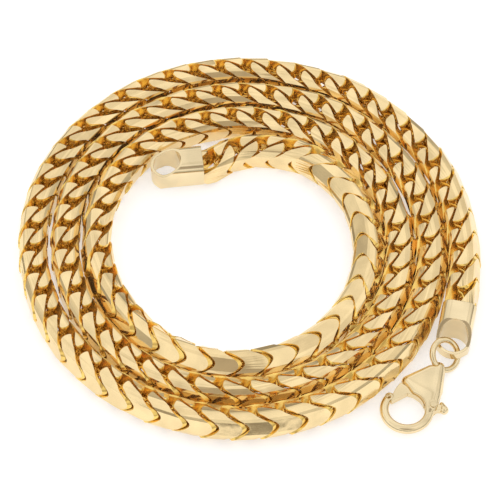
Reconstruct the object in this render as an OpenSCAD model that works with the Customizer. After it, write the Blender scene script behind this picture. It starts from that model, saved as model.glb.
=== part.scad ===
// Franco chain necklace in solid yellow gold, lying unfastened in a flat coil.
// The chain carries a sleeve-like end cap at each end. A jump ring joins the
// outer cap to a lobster clasp with a sprung lever.
// Z is up, and the chain, the caps and the clasp lie on the plane z = 0.

/* [Chain] */
// Width and height of the square chain
chain_w = 4; // [3.6:0.05:4.05]
// Radius of the chain's four long corners
chain_corner_r = 1.1; // [0.6:0.05:1.5]

/* [End caps] */
// Thickness of a cap's sheet wall round the chain
cap_wall = 0.2; // [0.15:0.05:0.3]
// Gap between the chain and the inside of a cap
cap_clearance = 0.05; // [0.03:0.01:0.1]
// Radius of a cap's outer corners
cap_corner_r = 1.3; // [1.1:0.05:1.4]
// Length of the chain that a cap swallows
cap_grip = 2.6; // [2:0.1:3.4]
// Radius of the round eye through a cap
eye_r = 1.85; // [1.7:0.05:1.9]
// Wall left between a cap's eye and its socket
eye_back_wall = 0.3; // [0.2:0.05:0.5]
// Height that the free end of the chain stands off the surface
free_lift = 0.4; // [0.2:0.05:0.6]
// Height of the strap's upper edge at the tip of the free cap
free_strap_top = 3.2; // [3:0.1:4]
// Height of the strap's lower edge at the tip of the free cap
free_strap_foot = 0.5; // [0.2:0.1:1.2]
// Height of the strap's upper edge at the tip of the cap on the clasp's side
clasp_strap_top = 2.4; // [2.3:0.05:2.45]
// Height of the strap's lower edge at the tip of the cap on the clasp's side
clasp_strap_foot = 1.2; // [1.15:0.05:1.4]

/* [Jump ring] */
// Radius of the ring to the middle of its wire
ring_r = 1.95; // [1.93:0.01:1.97]
// Thickness of the ring's wire
ring_wire = 0.8; // [0.7:0.02:0.82]

/* [Lobster clasp] */
// Radius of the hook to the middle of its wire
hook_r = 2.85; // [2.8:0.05:2.95]
// Thickness of the hook's wire
hook_wire = 1.2; // [1:0.05:1.25]
// Thickness of the clasp's body over the spine
body_t = 2.3; // [2.1:0.05:2.4]
// Height of the clasp's middle plane over the surface
clasp_z = 1.2; // [1.15:0.01:1.25]
// Thickness of the lever's arm
lever_t = 0.86; // [0.6:0.02:0.95]
// Gap above and below the lever in the body's slot
lever_side_gap = 0.06; // [0.04:0.01:0.1]
// Gap between the lever and the metal round it
lever_gap = 0.1; // [0.08:0.01:0.14]
// Radius of the lever's pin
pin_r = 0.3; // [0.2:0.02:0.32]
// Gap round the pin in the lever
pin_running_gap = 0.04; // [0.03:0.01:0.06]
// Gap round the pin in the body
pin_seat_gap = 0.02; // [0.01:0.01:0.03]
// Radius of the pin's flattened head
pin_head_r = 0.44; // [0.4:0.01:0.5]
// Gap round the jump ring in the clasp's eye
ring_gap = 0.12; // [0.1:0.01:0.14]

/* [Hidden] */
$fn = 48;
hull_fn = 24;
over = 1;
gold = [0.93, 0.76, 0.42];
pale_gold = [0.96, 0.84, 0.6];

// Route of the coiled chain. The radius of its middle line is given at every
// route_step degrees, one row a turn, from the clasp's side inward.
coil_centre = [-2.7, -3.3];
route_step = 30;
coil_route = [
    [31.2, 32.1, 32.4, 31.6, 29.9, 27.6, 25.7, 24.6, 24.4, 25, 25.7, 26.2],
    [27, 27.9, 28.2, 27.3, 25.8, 23.4, 21.4, 20.3, 20.2, 20.7, 21.4, 22],
    [22.8, 23.7, 24, 23.15, 21.7, 19.25, 17.2, 16, 15.9, 16.4, 17, 17.6],
    [18.5, 19.5, 19.7, 17.5]
];
// Share of a route step between two rings of the tube
ring_share = 0.6;
corner_points = 3;

// Places of the fittings on the surface
clasp_cap_at = [26.5, -15.8];
clasp_cap_turn = -102;
free_cap_round = 119.06;
free_cap_row = 2;
free_cap_gap = 0.4;
free_cap_turn = 187;
ring_at = [25.4, -17.7, 1.71];
ring_tilt = 40;
ring_turn = -40;
clasp_at = [24.75, -19.5];
clasp_turn = -21.5;

// Cap sizes that follow from the chain
cap_w = chain_w + 2 * (cap_clearance + cap_wall);
cap_mid_z = cap_w / 2;
cap_rise = cap_mid_z - chain_w / 2;
socket_w = chain_w + 2 * cap_clearance;
socket_corner_r = max(chain_corner_r + cap_clearance, cap_corner_r - cap_wall);
socket_end = -(eye_r + eye_back_wall);
mouth_x = socket_end - cap_grip;
tip_x = cap_w / 2;
socket_depth_gap = 0.2;
// The free cap's eye lies just inside the third turn
free_cap_r = coil_route[free_cap_row][round(free_cap_round / route_step)] - (chain_w + cap_w) / 2 - free_cap_gap;
free_cap_at = coil_centre + free_cap_r * [cos(free_cap_round), sin(free_cap_round)];
mouth_lead = 0.8;
rise_steps = 2;

// Clasp outline, from its eye, with the clasp pointing down the page
hook_c = [-1.95, -7.5];
pivot = [1.1, -6];
neck_c = [-0.25, -0.15];
shoulder_c = [-3.2, -3.5];
spine_c = [0.5, -4.3];
heel_c = [0.8, -6.2];
neck_r = 0.92;
shoulder_r = 0.86;
heel_r = 1.05;
spine_r = body_t / 2;
hook_start = 160;
hook_end = 380;
hook_bore_r = hook_r - hook_wire / 2;
bore_step = 0.1;
tip_bead = 0.05;

// Lever sizes that follow from the clasp
lever_reach = norm(hook_c - pivot) + hook_bore_r - 0.2;
arm_in_r = hook_bore_r - 0.02;
arm_out_r = arm_in_r + 1;
arm_from = 36;
arm_to = 106;
elbow = [[-2.3, -4.75], [-2.55, -5.2], [-4.1, -7.2], [-5.4, -6.4], [-4.55, -4], [-3.2, -4.3]];
elbow_out = [[1, 1], [1, -1], [0, -1], [-1, 0], [-1, 1], [0, 1.2]];
boss_r = 0.72;
slot_h = lever_t + 2 * lever_side_gap;
tab_c = [2.5, -5.76];
tab_r = 0.6;
tab_top = [1.95, -5.05];
tab_top_r = 0.3;
swing_r = 1.15;
swing_wedge = [[0, 0], [-2, 1.5], [-2, -1.06]];
elbow_mouth = [[-2.6, 3.6], [-4, 4.5], [-4, 2], [-1, 2]];
thumb_mouth = [[0, -boss_r - lever_gap], [3, -1], [3, 3], [0.2, 2.4], [-0.4, 0.7]];
pin_head_h = 0.12;
pin_top = clasp_z + heel_r;
pin_foot = clasp_z - heel_r + 0.05;

// Unit direction at an angle
function toward(a) = [cos(a), sin(a)];

// A place on a cap's axis, at a distance past its eye
function on_cap(at, turn, x) = at + x * toward(turn);

// Radii of all turns in one list, and the route's points in order
radii = [for (turn = coil_route) for (r = turn) r];
route = concat(
    [for (x = [socket_end - socket_depth_gap, mouth_x, mouth_x - mouth_lead])
        on_cap(clasp_cap_at, clasp_cap_turn, x)],
    [for (i = [0 : len(radii) - 1]) coil_centre + radii[i] * toward(i * route_step)],
    [for (x = [mouth_x - mouth_lead, mouth_x, socket_end - socket_depth_gap])
        on_cap(free_cap_at, free_cap_turn, x)]
);
last = len(route) - 1;

// Slope of the route at one of its points
function slope(i) =
    i == 0 ? (route[1] - route[0]) / norm(route[1] - route[0]) :
    i == last ? (route[last] - route[last - 1]) / norm(route[last] - route[last - 1]) :
    let (a = route[i] - route[i - 1], b = route[i + 1] - route[i], da = norm(a), db = norm(b))
    (a / da * db + b / db * da) / (da + db);

// A point of the smooth line through the route, at a count of steps along it
function along(u) =
    let (i = min(floor(u), last - 1), t = u - i, d = norm(route[i + 1] - route[i]))
    (2 * pow(t, 3) - 3 * pow(t, 2) + 1) * route[i]
    + (pow(t, 3) - 2 * pow(t, 2) + t) * d * slope(i)
    + (3 * pow(t, 2) - 2 * pow(t, 3)) * route[i + 1]
    + (pow(t, 3) - pow(t, 2)) * d * slope(i + 1);

// Direction of that line, measured over a short stretch
probe = 0.01;
function heading(u) =
    let (v = along(min(u + probe, last)) - along(max(u - probe, 0)))
    v / norm(v);

// Height of the tube over the surface: it rises into the caps at both ends
first_coil = 3;
last_coil = last - 3;
function rise_share(steps_off) = max(0, 1 - max(0, steps_off) / rise_steps);
function lift(u) =
    cap_rise * rise_share(u - first_coil)
    + (cap_rise + free_lift) * rise_share(last_coil - u);

// Steps at which the tube has a ring: both caps and the coil between them
stations = concat(
    [for (u = [0 : first_coil - 1]) u],
    [for (u = [first_coil : ring_share : last_coil]) u],
    [for (u = [last_coil + 1 : last]) u]
);

// Rounded square section of the chain, standing on z = 0
function corner(sx, sz, from) = [
    for (k = [0 : corner_points - 1])
        let (a = from + k * 90 / (corner_points - 1), reach = chain_w / 2 - chain_corner_r)
        [sx * reach + chain_corner_r * cos(a), chain_w / 2 + sz * reach + chain_corner_r * sin(a)]
];
section = concat(corner(1, 1, 0), corner(-1, 1, 90), corner(-1, -1, 180), corner(1, -1, 270));
sides = len(section);

module chain() {
    rings = [
        for (u = stations)
            let (p = along(u), h = heading(u))
            for (q = section) [p[0] + h[1] * q[0], p[1] - h[0] * q[0], q[1] + lift(u)]
    ];
    count = len(stations);
    walls = [
        for (k = [0 : count - 2]) for (j = [0 : sides - 1])
            let (n = (j + 1) % sides)
            [k * sides + j, k * sides + n, (k + 1) * sides + n, (k + 1) * sides + j]
    ];
    near_end = [for (j = [0 : sides - 1]) sides - 1 - j];
    far_end = [for (j = [0 : sides - 1]) (count - 1) * sides + j];
    color(gold)
        polyhedron(points = rings, faces = concat([near_end], walls, [far_end]), convexity = 10);
}

// A square bar with rounded long edges, lying along +X from x = from to x = to
module rounded_bar(w, r, from, to) {
    translate([from, 0, cap_mid_z]) rotate([90, 0, 90]) linear_extrude(to - from) {
        square([w - 2 * r, w], center = true);
        square([w, w - 2 * r], center = true);
        for (x = [-1, 1]) for (y = [-1, 1])
            translate([x * (w / 2 - r), y * (w / 2 - r)]) circle(r);
    }
}

// The outline of a cap seen from above: a sleeve with a round end about its eye
module cap_outline() {
    translate([mouth_x, -cap_w / 2]) square([-mouth_x, cap_w]);
    circle(cap_w / 2);
}

// A cap with its eye at the origin, its mouth at -X and its strap at +X
module end_cap(strap_top, strap_foot) {
    fall = (cap_w - strap_top) / 2.6;
    rise = strap_foot / 1.6;
    difference() {
        intersection() {
            rounded_bar(cap_w, cap_corner_r, mouth_x, tip_x);
            linear_extrude(cap_w) cap_outline();
        }
        rounded_bar(socket_w, socket_corner_r, mouth_x - over, socket_end);
        translate([0, 0, -over]) cylinder(r = eye_r, h = cap_w + 2 * over);
        // The strap's upper edge slopes down to its tip, then runs level
        rotate([90, 0, 0]) linear_extrude(2 * cap_w, center = true) polygon([
            [-eye_r, cap_w + over],
            [-eye_r, cap_w],
            [-eye_r + 2.6, cap_w - 2.6 * fall],
            [tip_x + over, strap_top],
            [tip_x + over, cap_w + over]
        ]);
        // The strap's lower edge rises to its tip in the same way
        rotate([90, 0, 0]) linear_extrude(2 * cap_w, center = true) polygon([
            [-0.2, -over],
            [-0.2, 0],
            [-0.2 + 1.6, 1.6 * rise],
            [tip_x + over, strap_foot],
            [tip_x + over, -over]
        ]);
    }
}

module end_cap_clasp() {
    color(pale_gold)
        translate([clasp_cap_at[0], clasp_cap_at[1], 0]) rotate([0, 0, clasp_cap_turn])
            end_cap(clasp_strap_top, clasp_strap_foot);
}

module end_cap_free() {
    color(pale_gold)
        translate([free_cap_at[0], free_cap_at[1], free_lift]) rotate([0, 0, free_cap_turn])
            end_cap(free_strap_top, free_strap_foot);
}

// The ring's round wire, or the space that it needs when extra is over 0
module ring_wire_at(extra) {
    translate(ring_at) rotate([0, ring_tilt, ring_turn]) rotate_extrude()
        translate([ring_r, 0]) circle(ring_wire / 2 + extra);
}

module jump_ring() {
    color(pale_gold) ring_wire_at(0);
}

// Places a piece of the clasp, drawn with its eye at the origin
module in_clasp() {
    translate([clasp_at[0], clasp_at[1], clasp_z]) rotate([0, 0, clasp_turn]) children();
}

// A flat wedge between two angles about the hook's centre
module wedge(from, to, r) {
    steps = 6;
    translate(hook_c) polygon(concat(
        [[0, 0]],
        [for (k = [0 : steps]) r * toward(from + k * (to - from) / steps)]
    ));
}

// The lever's arm seen from above, with a margin for the slot that holds it
module arm_outline(margin) {
    intersection() {
        difference() {
            translate(hook_c) circle(arm_out_r + margin);
            translate(hook_c) circle(arm_in_r - margin);
        }
        wedge(arm_from, arm_to, 2 * arm_out_r);
    }
    intersection() {
        polygon([for (k = [0 : len(elbow) - 1]) elbow[k] + margin * elbow_out[k]]);
        translate(pivot) circle(lever_reach + margin);
    }
    translate(pivot) circle(boss_r + margin);
}

module clasp_body() {
    color(pale_gold) difference() {
        in_clasp() difference() {
            union() {
                hull() {
                    translate([neck_c[0], neck_c[1], 0]) sphere(neck_r, $fn = hull_fn);
                    translate([shoulder_c[0], shoulder_c[1], 0]) sphere(shoulder_r, $fn = hull_fn);
                    translate([spine_c[0], spine_c[1], 0]) sphere(spine_r, $fn = hull_fn);
                    translate([heel_c[0], heel_c[1], 0]) sphere(heel_r, $fn = hull_fn);
                }
                translate([hook_c[0], hook_c[1], 0]) rotate([0, 0, hook_start])
                    rotate_extrude(angle = hook_end - hook_start) translate([hook_r, 0]) circle(hook_wire / 2);
                translate([hook_c[0] + hook_r * cos(hook_start), hook_c[1] + hook_r * sin(hook_start), 0])
                    sphere(hook_wire / 2 + tip_bead);
            }
            // The round opening of the hook, where the body would close it
            translate([hook_c[0], hook_c[1], -body_t]) cylinder(r = hook_bore_r + bore_step, h = 2 * body_t);
            // The hook's tip is cut back to let the lever swing past it
            translate([pivot[0], pivot[1], -body_t / 2]) linear_extrude(body_t)
                intersection() {
                    circle(lever_reach + lever_gap);
                    translate([-lever_reach - over, hook_c[1] - pivot[1]]) square([over + lever_reach / 4, 2.2]);
                }
            // The slot that the lever swings in, open to the thumb's side
            translate([0, 0, -slot_h / 2]) linear_extrude(slot_h) {
                arm_outline(lever_gap);
                translate(pivot) intersection() {
                    circle(swing_r);
                    polygon(swing_wedge);
                }
                translate(hook_c) polygon(elbow_mouth);
                translate(pivot) polygon(thumb_mouth);
            }
            translate([pivot[0], pivot[1], -body_t]) cylinder(r = pin_r + pin_seat_gap, h = 2 * body_t);
            translate([pivot[0], pivot[1], heel_r - pin_head_h]) cylinder(r = pin_head_r + pin_seat_gap, h = body_t);
        }
        ring_wire_at(ring_gap);
    }
}

module clasp_lever() {
    color(gold) in_clasp() difference() {
        union() {
            translate([0, 0, -lever_t / 2]) linear_extrude(lever_t) {
                arm_outline(0);
                // The neck of the thumb tab
                polygon([pivot + [0, -0.5], tab_c + [0, -0.3], tab_c + [0, 0.35], pivot + [0, 0.62]]);
            }
            hull() {
                translate([tab_c[0], tab_c[1], 0]) sphere(tab_r, $fn = hull_fn);
                translate([tab_top[0], tab_top[1], 0]) sphere(tab_top_r, $fn = hull_fn);
            }
        }
        translate([pivot[0], pivot[1], -body_t]) cylinder(r = pin_r + pin_running_gap, h = 2 * body_t);
    }
}

module lever_pin() {
    color(gold) in_clasp() translate([pivot[0], pivot[1], 0]) {
        translate([0, 0, pin_foot - clasp_z]) cylinder(r = pin_r, h = pin_top - pin_foot);
        translate([0, 0, heel_r - pin_head_h + pin_seat_gap]) cylinder(r = pin_head_r, h = pin_head_h);
    }
}

chain();
end_cap_clasp();
end_cap_free();
jump_ring();
clasp_body();
clasp_lever();
lever_pin();
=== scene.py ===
"""Franco chain necklace in polished yellow gold, lying in a flat coil on a white table."""

import bmesh
import bpy
import math
import numpy as np
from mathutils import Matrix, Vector


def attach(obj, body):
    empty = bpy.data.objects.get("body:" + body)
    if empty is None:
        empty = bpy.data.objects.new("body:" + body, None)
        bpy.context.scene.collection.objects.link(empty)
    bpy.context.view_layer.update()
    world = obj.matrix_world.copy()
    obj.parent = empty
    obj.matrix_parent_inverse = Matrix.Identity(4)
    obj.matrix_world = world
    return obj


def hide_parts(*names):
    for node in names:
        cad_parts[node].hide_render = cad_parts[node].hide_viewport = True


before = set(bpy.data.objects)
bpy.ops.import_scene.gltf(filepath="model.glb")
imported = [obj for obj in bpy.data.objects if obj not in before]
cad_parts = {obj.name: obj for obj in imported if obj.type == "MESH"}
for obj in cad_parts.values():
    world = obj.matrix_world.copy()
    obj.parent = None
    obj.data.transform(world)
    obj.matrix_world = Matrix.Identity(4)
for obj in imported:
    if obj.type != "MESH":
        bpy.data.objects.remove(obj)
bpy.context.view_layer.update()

# ---------------------------------------------------------------- camera
# The photograph was taken from the front, 55 degrees above the table, with a
# long lens. The camera looks at the middle of the coil.
MM = 0.001
looks_at = Vector((0.17, 0.05, 0.0)) * MM
elevation = math.radians(55)
distance = 380 * MM
towards_lens = Vector((0, -math.cos(elevation), math.sin(elevation)))
camera_data = bpy.data.cameras.new("camera")
camera_data.lens = 205.2
camera_data.sensor_width = 36
camera_data.clip_start = 10 * MM
camera = bpy.data.objects.new("camera", camera_data)
camera.location = looks_at + distance * towards_lens
camera.rotation_euler = (math.pi / 2 - elevation, 0, 0)
bpy.context.scene.collection.objects.link(camera)
bpy.context.scene.camera = camera
bpy.context.scene.view_settings.view_transform = "Standard"

# ---------------------------------------------------------------- table
# A plain, matt white table top under the necklace, wide enough to fill the
# picture. It glows a little, so that it comes out pure white.
reach = 1.5
floor_mesh = bpy.data.meshes.new("floor")
floor_mesh.from_pydata([(-reach, -reach, 0), (reach, -reach, 0), (reach, reach, 0), (-reach, reach, 0)],
                       [], [(0, 1, 2, 3)])
floor = bpy.data.objects.new("floor", floor_mesh)
bpy.context.scene.collection.objects.link(floor)
white_table = bpy.data.materials.new("white_table")
white_table.use_nodes = True
shader = white_table.node_tree.nodes["Principled BSDF"]
shader.inputs["Base Color"].default_value = (0.75, 0.75, 0.76, 1)
shader.inputs["Emission Color"].default_value = (1, 1, 1, 1)
shader.inputs["Emission Strength"].default_value = 0.5
shader.inputs["Roughness"].default_value = 0.6
shader.inputs["Specular IOR Level"].default_value = 0.1
floor_mesh.materials.append(white_table)

# ---------------------------------------------------------------- light tent
# A tent of white cloth round the table, as in a jeweller's light box. It is
# dimmer low down and where the lens looks in, and some of its panels are greyer.


def ramp(tree, value, stops):
    """A colour that follows a value, through stops of a place and a colour."""
    node = tree.nodes.new("ShaderNodeValToRGB")
    elements = node.color_ramp.elements
    elements[0].position, elements[1].position = stops[0][0], stops[-1][0]
    elements[0].color, elements[1].color = stops[0][1] + (1,), stops[-1][1] + (1,)
    for place, colour in stops[1:-1]:
        elements.new(place).color = colour + (1,)
    tree.links.new(value, node.inputs["Fac"])
    return node.outputs["Color"]


def multiply_by(tree, value):
    """A node that multiplies its colour A by the value; its A is still to be set."""
    node = tree.nodes.new("ShaderNodeMix")
    node.data_type = "RGBA"
    node.blend_type = "MULTIPLY"
    node.inputs["Factor"].default_value = 1.0
    tree.links.new(value, node.inputs["B"])
    return node


world = bpy.data.worlds.new("light_tent")
bpy.context.scene.world = world
world.use_nodes = True
tent = world.node_tree
background = tent.nodes["Background"]
background.inputs["Strength"].default_value = 1.08
way = tent.nodes.new("ShaderNodeTexCoord").outputs["Generated"]

height = tent.nodes.new("ShaderNodeSeparateXYZ")
tent.links.new(way, height.inputs[0])
white = (1, 1, 1)
cloth = ramp(tent, height.outputs["Z"], [
    (0.0, (0.3, 0.29, 0.27)), (0.2, (0.5, 0.49, 0.47)), (0.4, (0.9, 0.9, 0.89)), (0.52, white), (1.0, white)])

near_lens = tent.nodes.new("ShaderNodeVectorMath")
near_lens.operation = "DOT_PRODUCT"
near_lens.inputs[1].default_value = towards_lens
tent.links.new(way, near_lens.inputs[0])
lens_opening = ramp(tent, near_lens.outputs["Value"], [(0.93, white), (0.97, (0.45, 0.41, 0.37))])

panels = tent.nodes.new("ShaderNodeTexNoise")
panels.inputs["Scale"].default_value = 2.6
panels.inputs["Detail"].default_value = 1.0
tent.links.new(way, panels.inputs["Vector"])
grey_panels = ramp(tent, panels.outputs["Fac"], [(0.4, (0.8, 0.78, 0.75)), (0.5, white)])

opened = multiply_by(tent, lens_opening)
tent.links.new(cloth, opened.inputs["A"])
panelled = multiply_by(tent, grey_panels)
tent.links.new(opened.outputs["Result"], panelled.inputs["A"])
tent.links.new(panelled.outputs["Result"], background.inputs["Color"])

# ---------------------------------------------------------------- chain
# Closed links of thick gold wire, in two families that lie back to back. Each is a
# folded V over one face of the chain and half of the two beside it, milled flat
# there, and its thin hidden end hooks it to links of the other family.

# The chain's square section, in mm as all sizes of the links are
half = 2.0                              # half its width
corner_r = 1.1                          # radius of its long corners
straight = half - corner_r              # half the flat between two corners
corner_length = corner_r * math.pi / 2
core = 0.72                             # how far out the wire's inner side is
lean = 0.13                             # how far that side leans off the square
closing = 0.69                          # how fast it closes in over the next face


def outline(round_to):
    """Out and up on the wire's outer side and on its inner side.

    The lengths run round the chain from the V's point: over half of the link's own
    face, the long corner, and on over the next face.
    """
    angle = np.clip((round_to - straight) / corner_r, 0, math.pi / 2)
    facets = np.radians([0, 22, 68, 90])
    beyond = np.clip(round_to - straight - corner_length, 0, None)
    out = straight + corner_r * np.interp(angle, facets, np.cos(facets)) - beyond
    up = np.minimum(round_to, straight) + corner_r * np.interp(angle, facets, np.sin(facets))
    leaning = lean * np.cos(2 * angle)
    inner_out = core + leaning - beyond * closing
    inner_up = (core - leaning) * np.minimum(round_to, straight) / straight
    return np.column_stack([out, up]), np.column_stack([inner_out, inner_up])


# The wire's own section, from the milled facet's front edge round the hidden side
# to its back edge: which edge a point follows, how far it bulges past that edge
# as a share of the link's bulge there, and its depth as a share.
section = np.array([
    (1, 0.0, 0.0), (1, 0.6, 0.1), (1, 0.95, 0.28), (1, 0.9, 0.55), (1, 0.3, 0.82), (1, -1.2, 1.0),
    (-1, -1.2, 1.0), (-1, 0.3, 0.82), (-1, 0.9, 0.55), (-1, 0.95, 0.28), (-1, 0.6, 0.1), (-1, 0.0, 0.0)])
beside_facet = (0, 1, 10, 11)
least_half_width = 0.08

# The upper half of each V: length round, the facet's front and back edge along
# the chain, bulge at the front and at the back, and how deep the facet is sunk.
outer_v = [
    (0.0, 0.45, -2.5, 0.3, 0.1, 0), (0.3, 0.38, -2.58, 0.3, 0.1, 0), (0.6, 0.18, -2.85, 0.3, 0.1, 0),
    (0.9, -0.15, -3.2, 0.28, 0.1, 0), (1.3, -0.85, -3.78, 0.24, 0.12, 0), (1.77, -1.55, -4.3, 0.18, 0.16, 0),
    (2.1, -1.88, -4.7, 0.14, 0.2, 0), (2.35, -2.22, -4.86, 0.1, 0.22, 0), (2.63, -2.64, -4.93, 0.08, 0.24, 0),
    (2.95, -3.17, -4.95, 0.07, 0.24, 0), (3.25, -3.66, -4.95, 0.07, 0.24, 0), (3.5, -4.12, -4.93, 0.07, 0.22, 0),
    (3.7, -4.5, -4.86, 0.08, 0.2, 0), (3.82, -4.66, -4.8, 0.1, 0.18, 0.01), (3.88, -4.7, -4.77, 0.14, 0.18, 0.16),
]
inner_v = [
    (0.0, 0.42, -2.45, 0.14, 0.06, 0), (0.3, 0.34, -2.52, 0.14, 0.06, 0), (0.6, 0.14, -2.78, 0.14, 0.06, 0),
    (0.9, -0.2, -3.12, 0.14, 0.06, 0), (1.3, -0.95, -3.65, 0.14, 0.08, 0), (1.77, -1.9, -4.2, 0.14, 0.1, 0),
    (2.1, -2.58, -4.7, 0.12, 0.12, 0), (2.35, -2.98, -5.0, 0.1, 0.14, 0), (2.63, -3.3, -5.18, 0.08, 0.14, 0),
    (2.95, -3.68, -5.26, 0.07, 0.16, 0), (3.25, -4.05, -5.27, 0.07, 0.18, 0), (3.5, -4.42, -5.26, 0.07, 0.2, 0),
    (3.68, -4.72, -5.2, 0.08, 0.2, 0), (3.8, -4.92, -5.1, 0.1, 0.18, 0.01), (3.86, -4.98, -5.04, 0.14, 0.18, 0.16),
]

# The hidden end from the upper half to the lower: along, out, up and the wire's
# radius. An outer link's is a narrow loop round two posts of the inner family,
# and an inner link's is one such post.
outer_loop = [
    (-5.0, -0.3, 1.0, 0.36), (-5.2, 0.1, 0.7, 0.24), (-5.6, 0.4, 0.46, 0.18), (-6.3, 0.42, 0.36, 0.18),
    (-6.7, 0.3, 0.32, 0.18), (-6.9, 0.0, 0.29, 0.18), (-6.7, -0.32, 0.27, 0.18), (-6.3, -0.42, 0.25, 0.18),
    (-2.8, -0.42, -0.25, 0.18), (-2.3, -0.32, -0.27, 0.18), (-2.1, 0.0, -0.29, 0.18), (-2.3, 0.3, -0.32, 0.18),
    (-2.8, 0.42, -0.36, 0.18), (-4.3, 0.4, -0.46, 0.18), (-4.85, 0.1, -0.7, 0.24), (-5.0, -0.3, -1.0, 0.36),
]
inner_post = [
    (-5.1, -0.15, 1.0, 0.38), (-5.2, 0.0, 0.7, 0.25), (-5.2, 0.0, 0.4, 0.2), (-5.2, 0.0, 0.0, 0.2),
    (-5.2, 0.0, -0.4, 0.2), (-5.2, 0.0, -0.7, 0.25), (-5.1, -0.15, -1.0, 0.38),
]


def v_rings(v):
    """Rings of points (along, out, up) round the wire, over the V from end to end."""
    round_to, front, back, front_bulge, back_bulge, sink = np.array(v).T
    surface, inside = outline(round_to)
    edge, bulge, depth = section.T
    upper = []
    for k in range(len(v)):
        along = np.where(edge > 0, front[k] + bulge * front_bulge[k], back[k] - bulge * back_bulge[k])
        middle = (front[k] + back[k]) / 2
        along = np.where(edge > 0, np.maximum(along, middle + least_half_width),
                         np.minimum(along, middle - least_half_width))
        share = depth * (1 - sink[k]) + sink[k]
        upper.append(np.column_stack([along, surface[k] + share[:, None] * (inside[k] - surface[k])]))
    lower = [ring * (1, 1, -1) for ring in upper]
    return lower[:0:-1] + upper


def hidden_rings(hidden, lead):
    """Rings round the thin wire of the hidden end."""
    path, radii_of_wire = np.array(hidden)[:, :3], np.array(hidden)[:, 3]
    direction = np.gradient(path, axis=0)
    direction /= np.linalg.norm(direction, axis=1)[:, None]
    turn = 2 * np.pi * np.arange(len(section))[:, None] / len(section)
    rings = []
    for at, ahead, radius in zip(path, direction, radii_of_wire):
        lead = lead - lead.dot(ahead) * ahead
        lead /= np.linalg.norm(lead)
        rings.append(at + radius * (np.cos(turn) * lead + np.sin(turn) * np.cross(ahead, lead)))
    return rings


def matched(ring, other):
    """The ring's points, turned or reversed in order, to lie nearest to the other's."""
    orders = [np.roll(ring[::way_round], k, axis=0) for way_round in (1, -1) for k in range(len(ring))]
    aim = other - other.mean(0)
    return min(orders, key=lambda order: ((order - order.mean(0) - aim) ** 2).sum())


def link_shape(v, hidden):
    """One link's points, its triangles, which of these are milled, and how many points the V has."""
    rings = v_rings(v)
    v_count = len(rings)
    for ring in hidden_rings(hidden, rings[-1][0] - rings[-1].mean(0)):
        rings.append(matched(ring, rings[-1]))
    around, sides = len(rings), len(section)
    closing = matched(rings[0], rings[-1])
    first_again = [int(np.argmin(((point - rings[0]) ** 2).sum(1))) for point in closing]
    link = bmesh.new()
    points = [link.verts.new(point) for point in np.vstack(rings)]
    milled = link.faces.layers.int.new("milled")
    for k in range(around):
        for j in range(sides):
            i = (j + 1) % sides
            if k + 1 < around:
                ahead = ((k + 1) * sides + i, (k + 1) * sides + j)
            else:
                ahead = (first_again[i], first_again[j])
            face = link.faces.new([points[p] for p in (k * sides + j, k * sides + i) + ahead])
            face[milled] = int(j == sides - 1 and k < v_count - 1)
    bmesh.ops.recalc_face_normals(link, faces=link.faces)
    bmesh.ops.triangulate(link, faces=link.faces)
    if link.calc_volume(signed=True) < 0:
        bmesh.ops.reverse_faces(link, faces=link.faces)
    link.verts.index_update()
    shape = (np.array([v.co for v in link.verts]), np.array([[v.index for v in f.verts] for f in link.faces]),
             np.array([f[milled] for f in link.faces]), v_count * sides)
    link.free()
    return shape


# The chain's middle line, as in the part's source: from inside the outer cap over
# a coil of points every 30 degrees to inside the free cap.
coil_centre = np.array([-2.7, -3.3])
radii = np.array([
    31.2, 32.1, 32.4, 31.6, 29.9, 27.6, 25.7, 24.6, 24.4, 25, 25.7, 26.2,
    27, 27.9, 28.2, 27.3, 25.8, 23.4, 21.4, 20.3, 20.2, 20.7, 21.4, 22,
    22.8, 23.7, 24, 23.15, 21.7, 19.25, 17.2, 16, 15.9, 16.4, 17, 17.6,
    18.5, 19.5, 19.7, 17.5])
clasp_cap_at, clasp_cap_turn = (26.5, -15.8), -102
free_cap_radius, free_cap_angle, free_cap_turn = 17.05, 119.06, 187
along_cap = (-2.35, -4.75, -5.55)
steps_between = 40


def ray(degrees):
    return np.stack([np.cos(np.radians(degrees)), np.sin(np.radians(degrees))], axis=-1)


free_cap_at = coil_centre + free_cap_radius * ray(free_cap_angle)
route = np.vstack([
    [clasp_cap_at + x * ray(clasp_cap_turn) for x in along_cap],
    coil_centre + radii[:, None] * ray(np.arange(len(radii)) * 30.0),
    [free_cap_at + x * ray(free_cap_turn) for x in along_cap[::-1]]])
gaps = np.linalg.norm(np.diff(route, axis=0), axis=1)[:, None]
unit = np.diff(route, axis=0) / gaps
inner_slopes = (unit[:-1] * gaps[1:] + unit[1:] * gaps[:-1]) / (gaps[1:] + gaps[:-1])
slope = np.vstack([unit[:1], inner_slopes, unit[-1:]])
t = np.linspace(0, 1, steps_between + 1)[:-1, None]
line = np.vstack([
    (2 * t ** 3 - 3 * t ** 2 + 1) * route[i] + (t ** 3 - 2 * t ** 2 + t) * gaps[i] * slope[i]
    + (3 * t ** 2 - 2 * t ** 3) * route[i + 1] + (t ** 3 - t ** 2) * gaps[i] * slope[i + 1]
    for i in range(len(gaps))] + [route[-1:]])
travel = np.concatenate([[0], np.cumsum(np.linalg.norm(np.diff(line, axis=0), axis=1))])
heading = np.gradient(line, axis=0)
heading /= np.linalg.norm(heading, axis=1)[:, None]
bearing = np.unwrap(np.arctan2(heading[:, 1], heading[:, 0]))

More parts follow.
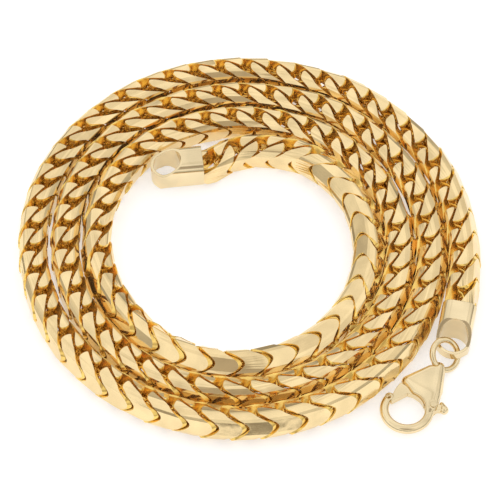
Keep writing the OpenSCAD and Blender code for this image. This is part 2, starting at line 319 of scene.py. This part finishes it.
# How far the chain is rolled over, in degrees, at angles round the coil
roll_at = np.array([
    (-30, 90), (-17, 88), (-3, 62), (30, 64), (60, 80), (90, 100), (180, 90), (270, 60), (330, 62),
    (360, 62), (390, 66), (450, 98), (540, 90), (630, 70), (690, 66), (720, 68), (750, 74), (810, 96),
    (860, 85), (900, 70), (945, 50), (986, 32), (995, 28), (1005, 19), (1020, 8), (1035, 0), (1070, -25),
    (1080, -33), (1110, -41), (1130, -56), (1148, -90), (1157, -94), (1170, -94), (1178, -90), (1220, -90)], float)
turned = np.degrees(np.unwrap(np.arctan2(line[:, 1] - coil_centre[1], line[:, 0] - coil_centre[0])))
roll = np.interp(turned, roll_at[:, 0], roll_at[:, 1])

# The ends are lifted a little to meet the middles of the caps
clasp_cap_lift, free_cap_lift = 0.25, 0.65
clasp_lift_ends, clasp_lift_length = 2 * travel[steps_between], travel[2 * steps_between]
chain_length, just_inside = travel[-1], 0.05
lifted_points = 100
free_lift_starts = travel[-lifted_points]
free_lift_length = chain_length - free_lift_starts


def lay(local, s, middle=None):
    """Carries points (along, out, up) of the link at s along the chain to the table.

    They follow the chain's bend, or with a middle keep their places round it, as
    the parts of one stiff link do.
    """
    where = np.clip(s + local[:, 0], just_inside, chain_length - just_inside)
    beyond = 0
    if middle is not None:
        where = np.full(len(local), s + middle)
        beyond = local[:, 0] - middle
    x, y, hx, hy = (np.interp(where, travel, values) for values in (*line.T, *heading.T))
    length = np.hypot(hx, hy)
    hx, hy = hx / length, hy / length
    r = np.radians(np.interp(where, travel, roll))
    out = local[:, 1] * np.sin(r) - local[:, 2] * np.cos(r)
    up = local[:, 1] * np.cos(r) + local[:, 2] * np.sin(r)
    stand = straight * (np.abs(np.sin(r)) + np.abs(np.cos(r))) + corner_r
    stand += clasp_cap_lift * np.clip((clasp_lift_ends - where) / clasp_lift_length, 0, 1) ** 2
    stand += free_cap_lift * np.clip((where - free_lift_starts) / free_lift_length, 0, 1) ** 2
    return np.column_stack([x + hy * out + hx * beyond, y - hx * out + hy * beyond, up + stand])


# How the links are spaced, and how their facets are milled: a little askew of each
# other, and less so where the chain bends tightly (angle over one link, radians)
pitch = 3.6
from_middle, half_length = 2.5, 2.6
askew, most_askew = 1.6, 2.4
near_cap = 6
loosest_bend, tightest_bend = 0.25, 0.5


def milled_link(points, v_points, s, middle, side, shaved, rng):
    """Lays one link at s, its milled facets flat and a little askew."""
    skew = np.radians(np.clip(rng.normal(0, askew, 2), -most_askew, most_askew))
    laid = lay(points, s)
    if not near_cap < s + middle < chain_length - near_cap:
        return laid
    cut = points[:v_points].copy()
    along = cut[:, 0] - middle
    outward = np.clip(side * cut[:, 1] / half, 0, 1)
    cut[:, 1] += side * outward * (skew[0] * along - abs(skew[0]) * half_length - shaved)
    cut[:, 2] += cut[:, 2] / half * (skew[1] * along - abs(skew[1]) * half_length)
    cut = lay(cut, s, middle)
    before, after = np.interp([s + middle - from_middle, s + middle + from_middle], travel, bearing)
    stiff = np.clip((tightest_bend - abs(after - before)) / (tightest_bend - loosest_bend), 0, 1)
    facet = np.isin(np.arange(v_points) % len(section), beside_facet)
    share = np.clip(outward * half / straight, 0, 1) * facet * stiff
    laid[:v_points] += share[:, None] * (cut - laid[:v_points])
    return laid


def chain_piece(name, shape, side, shift, clear, shaved, seed):
    """All links of one family, as one mesh.

    Side -1 turns its links round. The first link's V has its point at the shift or
    the first pitch past it, and clear is how far from the line's ends the points
    stay. Shaved is the depth that milling takes off.
    """
    points, triangles, milled, v_points = shape
    points = points * (side, side, 1)
    rng = np.random.default_rng(seed)
    middle = -side * from_middle
    s = shift
    while s < clear[0]:
        s += pitch
    laid, faces = [], []
    while s < chain_length - clear[1]:
        # laying a link mirrors it, so its triangles are turned over
        faces.append(triangles[:, ::-1] + len(laid) * len(points))
        laid.append(milled_link(points, v_points, s, middle, side, shaved, rng))
        s += pitch
    is_milled = np.tile(milled, len(laid))
    mesh = bpy.data.meshes.new(name)
    mesh.from_pydata((np.vstack(laid) * MM).tolist(), [], np.vstack(faces).tolist())
    mesh.shade_smooth()
    mesh.set_sharp_from_angle(angle=math.radians(33))
    mesh.polygons.foreach_set("use_smooth", is_milled < 0.5)
    mesh.attributes.new("milled", "FLOAT", "FACE").data.foreach_set("value", is_milled.astype(np.float32))
    piece = bpy.data.objects.new(name, mesh)
    bpy.context.scene.collection.objects.link(piece)
    return piece


# Wear of polished gold, which all pieces share: slow waves from the polishing
# wheel, fine scratches across them, and edges worn round.
wear = bpy.data.node_groups.new("polish_wear", "ShaderNodeTree")
for label in ("Wave", "Size", "Edge"):
    wear.interface.new_socket(label, in_out="INPUT", socket_type="NodeSocketFloat")
wear.interface.new_socket("Tone", in_out="OUTPUT", socket_type="NodeSocketFloat")
wear.interface.new_socket("Roughness", in_out="OUTPUT", socket_type="NodeSocketFloat")
wear.interface.new_socket("Normal", in_out="OUTPUT", socket_type="NodeSocketVector")
given = wear.nodes.new("NodeGroupInput").outputs
results = wear.nodes.new("NodeGroupOutput").inputs
on_piece = wear.nodes.new("ShaderNodeTexCoord").outputs["Object"]

waves = wear.nodes.new("ShaderNodeTexNoise")
waves.inputs["Detail"].default_value = 1.5
wear.links.new(on_piece, waves.inputs["Vector"])
wear.links.new(given["Size"], waves.inputs["Scale"])

drawn_out = wear.nodes.new("ShaderNodeMapping")
drawn_out.inputs["Rotation"].default_value = (0.3, 0.2, 0.7)
drawn_out.inputs["Scale"].default_value = (14000, 700, 9000)
wear.links.new(on_piece, drawn_out.inputs["Vector"])
scratches = wear.nodes.new("ShaderNodeTexNoise")
scratches.inputs["Scale"].default_value = 1.0
scratches.inputs["Detail"].default_value = 2.0
wear.links.new(drawn_out.outputs["Vector"], scratches.inputs["Vector"])

worn_edge = wear.nodes.new("ShaderNodeBevel")
worn_edge.samples = 4
wear.links.new(given["Edge"], worn_edge.inputs["Radius"])
wave_bump = wear.nodes.new("ShaderNodeBump")
wave_bump.inputs["Strength"].default_value = 1.0
wear.links.new(given["Wave"], wave_bump.inputs["Distance"])
wear.links.new(waves.outputs["Fac"], wave_bump.inputs["Height"])
wear.links.new(worn_edge.outputs["Normal"], wave_bump.inputs["Normal"])
scratch_bump = wear.nodes.new("ShaderNodeBump")
scratch_bump.inputs["Strength"].default_value = 0.5
scratch_bump.inputs["Distance"].default_value = 0.0005 * MM
wear.links.new(scratches.outputs["Fac"], scratch_bump.inputs["Height"])
wear.links.new(wave_bump.outputs["Normal"], scratch_bump.inputs["Normal"])
wear.links.new(scratch_bump.outputs["Normal"], results["Normal"])

for value, low, high, least, most, result in ((waves, 0.35, 0.65, 0.9, 1.04, "Tone"),
                                              (scratches, 0.35, 0.7, 0.0, 0.06, "Roughness")):
    spread = wear.nodes.new("ShaderNodeMapRange")
    spread.inputs["From Min"].default_value = low
    spread.inputs["From Max"].default_value = high
    spread.inputs["To Min"].default_value = least
    spread.inputs["To Max"].default_value = most
    wear.links.new(value.outputs["Fac"], spread.inputs["Value"])
    wear.links.new(spread.outputs["Result"], results[result])


def worn_gold(name, wear_size, worn_radius):
    """A gold with the wear on it: its tree, its shader, its colour and roughness to be worn."""
    material = bpy.data.materials.new(name)
    material.use_nodes = True
    tree = material.node_tree
    shader = tree.nodes["Principled BSDF"]
    used = tree.nodes.new("ShaderNodeGroup")
    used.node_tree = wear
    used.inputs["Wave"].default_value = 0.03 * MM
    used.inputs["Size"].default_value = wear_size
    used.inputs["Edge"].default_value = worn_radius
    toned = multiply_by(tree, used.outputs["Tone"])
    tree.links.new(toned.outputs["Result"], shader.inputs["Base Color"])
    rougher = tree.nodes.new("ShaderNodeMath")
    tree.links.new(used.outputs["Roughness"], rougher.inputs[1])
    tree.links.new(rougher.outputs["Value"], shader.inputs["Roughness"])
    tree.links.new(used.outputs["Normal"], shader.inputs["Normal"])
    return material, tree, shader, toned.inputs["A"], rougher.inputs[0]


# The wire's unmilled sides, down in the recesses between the links, get a deep amber
# colour that is painted shade, standing in for light bounced between the gold there;
# they are also dull, as drawn and soldered wire. The milled facets are pale gold and bright.
chain_gold, tree, shader, base_colour, roughness = worn_gold("chain_gold", 380, 0.03 * MM)
milled_mask = tree.nodes.new("ShaderNodeAttribute")
milled_mask.attribute_name = "milled"
colour = tree.nodes.new("ShaderNodeMix")
colour.data_type = "RGBA"
# painted shade: deep amber on the unmilled wire in the recesses, for light bounced between the gold
colour.inputs["A"].default_value = (1.0, 0.68, 0.19, 1)
colour.inputs["B"].default_value = (0.92, 0.71, 0.38, 1)
tree.links.new(milled_mask.outputs["Fac"], colour.inputs["Factor"])
tree.links.new(colour.outputs["Result"], base_colour)
for drawn, cut, socket in ((0.18, 0.06, roughness), (0.85, 0.95, shader.inputs["Metallic"])):
    finish = tree.nodes.new("ShaderNodeMapRange")
    finish.inputs["To Min"].default_value = drawn
    finish.inputs["To Max"].default_value = cut
    tree.links.new(milled_mask.outputs["Fac"], finish.inputs["Value"])
    tree.links.new(finish.outputs["Result"], socket)

links_outer = chain_piece("chain_links_outer", link_shape(outer_v, outer_loop), side=1,
                          shift=2.6, clear=(1.2, 0.5), shaved=0.13, seed=7)
links_inner = chain_piece("chain_links_inner", link_shape(inner_v, inner_post), side=-1,
                          shift=1.9, clear=(0.5, 1.2), shaved=0.04, seed=8)
for piece in (links_outer, links_inner):
    piece.data.materials.append(chain_gold)
    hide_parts("chain")
    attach(piece, "necklace")

# ---------------------------------------------------------------- end caps
# Two sleeves of bent gold sheet, each soldered over an end of the chain, with a
# strap left round a wide eye. They are the part's own solids, polished.
polished_gold, tree, shader, base_colour, roughness = worn_gold("polished_gold", 300, 0.12 * MM)
shader.inputs["Metallic"].default_value = 1
base_colour.default_value = (0.86, 0.70, 0.43, 1)
roughness.default_value = 0.07


def polish(name):
    """Gives a solid of the frame the polished gold, smooth but for its real edges."""
    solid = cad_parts[name]
    for material_slot in solid.material_slots:
        material_slot.material = polished_gold
    solid.data.shade_smooth()
    solid.data.set_sharp_from_angle(angle=math.radians(38))


polish("end_cap_clasp")
polish("end_cap_free")

# ---------------------------------------------------------------- jump ring
# A ring of round gold wire, soldered shut, through the outer cap's strap and the
# eye of the clasp. It is the part's own solid.
polish("jump_ring")

# ---------------------------------------------------------------- clasp body
# One gold casting with the clasp's eye, slotted body and hook, tumbled until no
# edge is sharp. It is the solid's own form, remeshed finely and eased all over.
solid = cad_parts["clasp_body"]
for material_slot in solid.material_slots:
    material_slot.material = polished_gold
cast = bpy.data.objects.new("clasp_body_cast", solid.data.copy())
cast.matrix_world = solid.matrix_world.copy()
bpy.context.scene.collection.objects.link(cast)
remeshed = cast.modifiers.new("remeshed", "REMESH")
remeshed.mode = "VOXEL"
remeshed.voxel_size = 0.12 * MM
tumbled = cast.modifiers.new("tumbled", "SMOOTH")
tumbled.factor = 0.5
tumbled.iterations = 20
swollen = cast.modifiers.new("swollen", "DISPLACE")
swollen.strength = 0.06 * MM
swollen.mid_level = 0
eased = bpy.data.meshes.new_from_object(cast.evaluated_get(bpy.context.evaluated_depsgraph_get()))
cast.modifiers.clear()
cast.data = eased
eased.shade_smooth()
eased.materials.clear()
eased.materials.append(polished_gold)
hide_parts("clasp_body")
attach(cast, "necklace")

# ---------------------------------------------------------------- lever
# The clasp's sprung gold lever, set in the body's slot: it turns on the pin, closes
# the hook and has a small tab for the thumb nail. It is the part's own solid.
polish("clasp_lever")

# ---------------------------------------------------------------- lever pin
# A plain gold pin, riveted through both walls of the clasp's body and the lever
# between them. It is the part's own solid.
polish("lever_pin")
